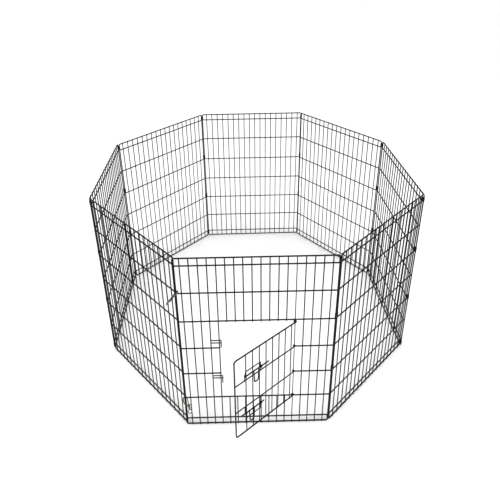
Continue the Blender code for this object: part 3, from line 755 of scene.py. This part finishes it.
def keeper_mesh():
    """Two wires behind the vertical ones that come forward to one upright leg; the bolt is at z = 0."""
    start = upright(KEEPER_UPRIGHT) - 0.8 * KEEPER_WIRE
    turn = upright(LATCH_UPRIGHT) + KEEPER_REACH
    spread = KEEPER_SPREAD
    upper = [(start, -KEEPER_IN, spread), (turn, -KEEPER_IN, spread), (turn, -KEEPER_OUT, spread),
             (turn, -KEEPER_OUT, -spread - KEEPER_TAIL)]
    lower = [(start, -KEEPER_IN, -spread), (turn, -KEEPER_IN, -spread),
             (turn, -KEEPER_OUT + 0.2 * KEEPER_WIRE, -spread)]
    beads = Shell()
    for height in (spread, -spread):
        for number in (KEEPER_UPRIGHT, LATCH_UPRIGHT):
            bead(beads, (upright(number), -(KEEPER_IN + UPRIGHT_OUT) / 2, height), KEEPER_WELD_BEAD)
    wires = [wire(Shell(), rounded(run, KEEPER_BEND, 6), KEEPER_WIRE, 12) for run in (upper, lower)]
    return weld("keeper", wires + [beads])


# ---------------------------------------------------------------- bolt snaps

ON_AXIS = Matrix.Translation((0, SNAP_AXIS, 0))    # the barrel's axis, for turned shapes


def in_mm(start, stations):
    """A turned profile given in millimetres from a start, as (along, radius) points in metres."""
    return [(start + along * MM, radius * MM) for along, radius in stations]


def curve_through(points, steps):
    """A smooth curve through points, as Catmull-Rom spans."""
    points = [Vector(p) for p in points]
    padded = [2 * points[0] - points[1]] + points + [2 * points[-1] - points[-2]]
    path = []
    for i in range(1, len(padded) - 2):
        a, b, c, d = padded[i - 1:i + 3]
        for k in range(steps):
            t = k / steps
            path.append(0.5 * (2 * b + (c - a) * t + (2 * a - 5 * b + 4 * c - d) * t * t
                               + (3 * b - a - 3 * c + d) * t * t * t))
    return path + [points[-1]]


def snap_hook_mesh():
    """Turned barrel with collars, a slot for the knob, and a cast hook that thins towards its tip."""
    start, end = SNAP_BARREL
    mouth = [(0, 4.1), (0.3, 4.9), (0.6, 5.2), (1.3, 5.2), (1.7, 4.7), (2.4, 4.5), (8.0, 4.6), (13.5, 4.7),
             (14.2, 5.0), (15.2, 5.1), (15.8, 4.6)]
    rear = [(-1.4, 4.4), (-0.5, 3.9), (0, 3.0)]
    barrel = lathe(Shell(), ON_AXIS, in_mm(start, mouth) + in_mm(end, rear), 32)
    quarter = math.pi / 2
    bend = arc((SNAP_HOOK_CENTRE, 0, 0), SNAP_AXIS, -quarter, -3 * quarter, 8, (1, 0, 0), (0, 1, 0))
    root = [(8.5, 7.2, 0), (4.0, 4.0, 0), (-0.5, -0.9, 0), (-4.6, -5.6, -0.1)]
    route = [(start + x * MM, y * MM, z * MM) for x, y, z in root]
    route += [(start - 9.5 * MM, -8.3 * MM, -0.8 * SNAP_HOOK_DIP), (3.0 * MM, -SNAP_AXIS, -SNAP_HOOK_DIP)]
    dips = [SNAP_HOOK_DIP * (1 - i / (len(bend) - 1)) for i in range(len(bend))]
    route += [p - Vector((0, 0, dip)) for p, dip in zip(bend, dips)]
    route.append((SNAP_HOOK_CENTRE + 2.0 * MM, SNAP_AXIS, 0))
    thick, thin = SNAP_HOOK_RADII
    hook = wire(Shell(), curve_through(route, 5), lambda share: thick + (thin - thick) * share, 16, tip="cut")
    step = start + 0.7 * MM
    bore = lathe(Shell(), ON_AXIS, [(start - 2.0 * MM, SNAP_ROD_BORE), (step, SNAP_ROD_BORE),
                                    (step, SNAP_BORE), (SNAP_BORE_END, SNAP_BORE)], 24)
    knob = start + SNAP_KNOB
    slot_ends = (knob - 0.3 * MM, knob + SNAP_TRAVEL + 0.3 * MM)
    slot = wire(Shell(), [(along, SNAP_AXIS + SNAP_SLOT_OUT, 0) for along in slot_ends], SNAP_SLOT_RADIUS, 16,
                tip="round")
    swivel = lathe(Shell(), ON_AXIS, in_mm(end, [(-3.4, 1.75), (1.0, 1.75)]), 24)
    body = combine(to_mesh(barrel, "barrel"), [to_mesh(hook, "hook")])
    body = combine(body, [to_mesh(hollow, "hollow") for hollow in (bore, slot, swivel)], "DIFFERENCE")
    return smooth(body, "snap_hook", 42)


def snap_gate_mesh():
    """Plunger with a domed tip, a head in the barrel and a turned thumb knob."""
    start = SNAP_BARREL[0]
    tip = SNAP_HOOK_CENTRE + 2.6 * MM
    profile = in_mm(tip, [(0, 1.3), (0.3, 1.7), (0.8, 1.9)]) + in_mm(start, [(1.0, 1.9), (1.1, 2.8)])
    profile += in_mm(start + SNAP_HEAD_END, [(-0.4, 2.8), (0, 2.4)])
    rod = lathe(Shell(), ON_AXIS, profile, 24)
    upward = Matrix.Translation((start + SNAP_KNOB, SNAP_AXIS, 0)) @ Matrix.Rotation(math.pi / 2, 4, "Z")
    stem = [(0.5, 1.1), (5.2, 1.1)]
    head = [(5.5, 1.9), (6.0, 2.5), (6.7, 2.6), (7.3, 2.3), (7.8, 1.5), (8.0, 0.6)]
    knob = lathe(Shell(), upward, in_mm(0, stem + head), 24)
    return weld("snap_gate", [rod, knob], 42)


def snap_spring_mesh():
    """A helical spring behind the gate's head, with closed end turns."""
    start, end = SNAP_BARREL[0] + SNAP_HEAD_END + 0.2 * MM, SNAP_BORE_END - 0.2 * MM
    path = []
    total = SPRING_TURNS * 20
    for i in range(total + 1):
        share = i / total
        eased = share - 0.055 * math.sin(2 * math.pi * share)
        along = start + SPRING_WIRE + (end - start - 2 * SPRING_WIRE) * eased
        angle = 2 * math.pi * SPRING_TURNS * share
        path.append((along, SNAP_AXIS + SPRING_RADIUS * math.cos(angle), SPRING_RADIUS * math.sin(angle)))
    return smooth(to_mesh(wire(Shell(), path, SPRING_WIRE, 8), "snap_spring"), "snap_spring")


def snap_eye_mesh():
    """Swivel: a flanged neck in the barrel's end, and a flat-sided ring."""
    end = SNAP_BARREL[1]
    centre = end + 2.5 * MM + SNAP_EYE
    neck = lathe(Shell(), ON_AXIS, in_mm(end, [(-3.0, 1.5), (0.2, 1.5), (0.35, 2.7), (1.2, 2.9), (1.9, 2.3),
                                               (3.2, 1.7)]), 24)
    circle = arc((centre, SNAP_AXIS, 0), SNAP_EYE, 0, 2 * math.pi, 40, (1, 0, 0), (0, 1, 0))[:-1]
    ring = wire(Shell(), circle, SNAP_EYE_BAR, 14, closed=True)
    return weld("snap_eye", [ring, neck], 42)


# ---------------------------------------------------------------- assembly

def build_panels(coating, clip_coating):
    plain = panel_mesh(with_door=False)
    for index, name in enumerate(PANEL_NAMES):
        mesh = plain if index else panel_mesh(with_door=True)
        body = f"{name}_panel"
        piece(f"wires_{name}", mesh, panel_frame(index), coating, body, f"panel_{name}")
    heights = {level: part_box(f"hinge_clip_1_{level}") for level in ("bottom", "lower", "upper", "top")}
    shapes = {level: clip_mesh(high.z - low.z - CLIP_SHORTER) for level, (low, high) in heights.items()}
    for corner in CORNERS:
        first, second = corner_wires(corner)
        holder = f"{PANEL_NAMES[corner - 1]}_panel"
        for level, (low, high) in heights.items():
            place = facing(first + Vector((0, 0, (low.z + high.z) / 2)), second - first)
            node = f"hinge_clip_{corner}_{level}"
            piece(f"bent_{node}", shapes[level], place, clip_coating, holder, node)


def build_door(coating, latch_coating):
    piece("wires_door", door_mesh(), DOOR_FRAME, coating, "door", "door")
    drawn = bolt_mesh()
    keeper = keeper_mesh()
    for level, latch in LATCHES.items():
        middle = DOOR_MIDS[level]
        shot = -JOINTS[f"slide_bolt_{level}_slide"]["range_m"][0]
        lift = Matrix.Translation((0, 0, middle))
        slid = Matrix.Translation((-shot, 0, middle + latch["bolt"]))
        piece(f"bent_guide_{level}", guide_mesh(latch), DOOR_FRAME @ lift, latch_coating, "door",
              f"bolt_guide_{level}")
        piece(f"sliding_bolt_{level}", drawn, DOOR_FRAME @ slid, latch_coating, f"slide_bolt_{level}",
              f"slide_bolt_{level}")
        beside = panel_frame(0) @ Matrix.Translation((0, 0, middle + latch["bolt"]))
        piece(f"bent_keeper_{level}", keeper, beside, coating, "front_panel",
              f"keeper_{level}")


def build_snaps(nickel, steel):
    shapes = {"hook": (snap_hook_mesh(), nickel), "gate": (snap_gate_mesh(), nickel),
              "spring": (snap_spring_mesh(), steel), "eye": (snap_eye_mesh(), nickel)}
    for level in ("upper", "lower"):
        place = snap_frame(level)
        for part, (mesh, mat) in shapes.items():
            node = f"snap_{level}_{part}"
            body = f"snap_{level}" if part in ("hook", "spring") else node
            item = piece(f"fine_{node}", mesh, place, mat, body, node)
            if part == "spring":
                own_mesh(item)


# ---------------------------------------------------------------- floor, light and camera

CAMERA_PLACE = Vector((-0.0608, -2.2294, 1.9535))
CAMERA_DOWN = math.radians(27.621)
CAMERA_YAW = math.radians(0.926)
CAMERA_ROLL = math.radians(-0.692)
CAMERA_LENS = 38.258
CAMERA_SHIFT = (0.0, -0.12)
VIEW_GAMMA = 0.75             # darkens the edges of thin wires as in the photo


def add_camera():
    data = bpy.data.cameras.new("photo_camera")
    data.lens = CAMERA_LENS
    data.sensor_width = 36.0
    data.shift_x, data.shift_y = CAMERA_SHIFT
    camera = bpy.data.objects.new("photo_camera", data)
    bpy.context.scene.collection.objects.link(camera)
    flat = math.cos(CAMERA_DOWN)
    ahead = Vector((math.sin(CAMERA_YAW) * flat, math.cos(CAMERA_YAW) * flat, -math.sin(CAMERA_DOWN)))
    level = ahead.cross(Vector((0, 0, 1))).normalized()
    above = level.cross(ahead)
    right = level * math.cos(CAMERA_ROLL) + above * math.sin(CAMERA_ROLL)
    up = above * math.cos(CAMERA_ROLL) - level * math.sin(CAMERA_ROLL)
    turn = Matrix((right, up, -ahead)).transposed().to_4x4()
    camera.matrix_world = Matrix.Translation(CAMERA_PLACE) @ turn
    bpy.context.scene.camera = camera


def add_light(name, place, size, power, target):
    data = bpy.data.lights.new(name, "AREA")
    data.size = size
    data.energy = power
    lamp = bpy.data.objects.new(name, data)
    bpy.context.scene.collection.objects.link(lamp)
    lamp.location = place
    lamp.rotation_euler = (Vector(target) - Vector(place)).to_track_quat("-Z", "Y").to_euler()


def add_studio():
    mesh = bpy.data.meshes.new("floor")
    half = 30.0
    corners = [(-half, -half, FLOOR), (half, -half, FLOOR), (half, half, FLOOR), (-half, half, FLOOR)]
    mesh.from_pydata(corners, [], [(0, 1, 2, 3)])
    floor = bpy.data.objects.new("floor", mesh)
    bpy.context.scene.collection.objects.link(floor)
    mesh.materials.append(floor_finish("pale_floor"))
    world = bpy.data.worlds.new("studio")
    bpy.context.scene.world = world
    world.use_nodes = True
    sky = world.node_tree.nodes["Background"]
    sky.inputs["Color"].default_value = (1.0, 1.0, 1.0, 1)
    sky.inputs["Strength"].default_value = 1.10
    add_light("key", (-2.2, -2.6, 3.6), 2.4, 60.0, (0, 0, 0.4))
    add_light("fill", (2.8, -1.2, 2.6), 2.0, 25.0, (0, 0, 0.4))
    bpy.context.scene.view_settings.view_transform = "Standard"
    bpy.context.scene.view_settings.gamma = VIEW_GAMMA


def main():
    coating = black_coating("wire_coating", 0.004, 0.010, 0.40)
    clip_coating = black_coating("clip_coating", 0.005, 0.012, 0.38, worn=0.2)
    latch_coating = black_coating("latch_coating", 0.005, 0.011, 0.36, worn=0.8)
    nickel = nickel_plate("nickel_plate")
    steel = spring_steel("spring_steel")
    build_panels(coating, clip_coating)
    build_door(coating, latch_coating)
    build_snaps(nickel, steel)
    add_studio()
    add_camera()


main()
